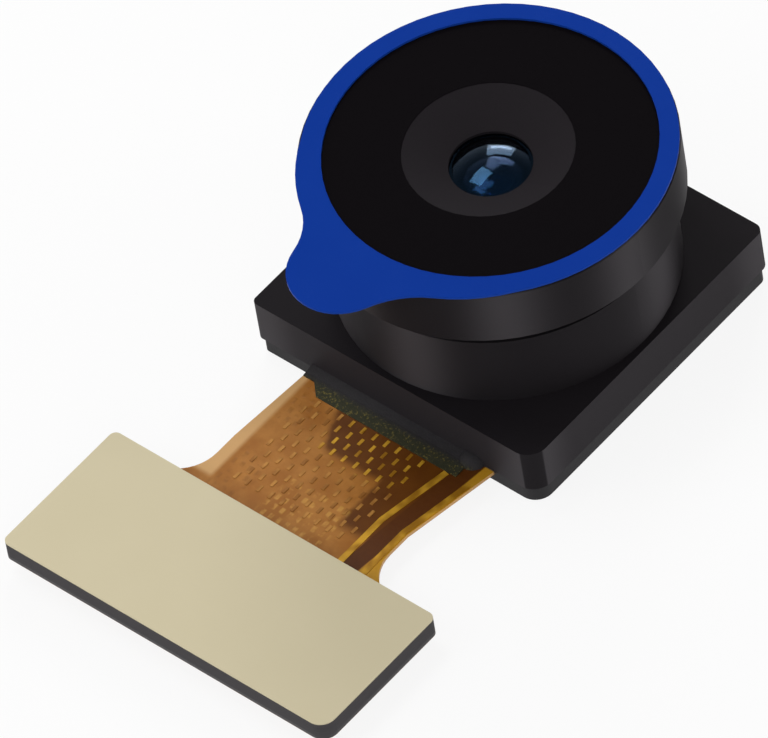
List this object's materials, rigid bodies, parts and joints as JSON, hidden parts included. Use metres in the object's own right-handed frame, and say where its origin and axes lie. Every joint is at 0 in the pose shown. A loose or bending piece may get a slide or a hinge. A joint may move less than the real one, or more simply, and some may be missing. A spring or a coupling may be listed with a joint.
{
  "type": "camera module",
  "caption": "Compact camera module: round lens barrel in a square holder over an image sensor, on a short flex circuit that ends in a board-to-board connector under a stiffener.",
  "frame": {"origin": "centre of the back face, the flat underside of the backing plate", "axes": "+Z out along the optical axis, towards the scene; the flex leaves the holder towards -Y and ends in the connector; +X completes the right-handed frame"},
  "size_m": [0.0098, 0.017, 0.0059],
  "materials": {
    "film_blue": "even blue adhesive film, satin",
    "barrel_black": "black moulding, fine satin sides and a smooth front",
    "lens_glass": "clear optical element with a blue-green coating",
    "stop_black": "matt black, against stray light",
    "holder_black": "black moulding, fine satin texture",
    "filter_glass": "pale blue infrared-blocking glass",
    "sensor_silicon": "dark polished silicon",
    "wire_gold": "bright gold wire",
    "capacitor_ceramic": "tan ceramic with tinned ends",
    "flex_amber": "amber polyimide cover layer, satin",
    "backing_black": "dark board with a dark edge",
    "copper_gold": "copper seen golden through the cover layer",
    "sealant_dark": "dark sealing resin",
    "stiffener_grey": "dark grey board with a cut edge",
    "cover_beige": "beige insulating sheet, matt",
    "housing_ivory": "ivory moulding",
    "contact_gold": "gold-plated contact strip",
    "tab_silver": "tinned sheet metal"
  },
  "bodies": {
    "root": {"protective_film": "film_blue", "lens_barrel": "barrel_black", "front_lens": "lens_glass", "aperture_stop": "stop_black", "second_lens": "lens_glass", "front_spacer": "stop_black", "third_lens": "lens_glass", "rear_spacer": "stop_black", "fourth_lens": "lens_glass", "retaining_ring": "stop_black", "holder": "holder_black", "infrared_filter": "filter_glass", "image_sensor": "sensor_silicon", "bond_wires": "wire_gold", "capacitors": "capacitor_ceramic", "flex_circuit": "flex_amber", "backing_plate": "backing_black", "copper_tracks": "copper_gold", "copper_hatch": "copper_gold", "root_sealant": "sealant_dark", "connector_stiffener": "stiffener_grey", "cover_sheet": "cover_beige", "connector_housing": "housing_ivory", "contact_pins": "contact_gold", "hold_down_tabs": "tab_silver"}
  },
  "joints": []
}
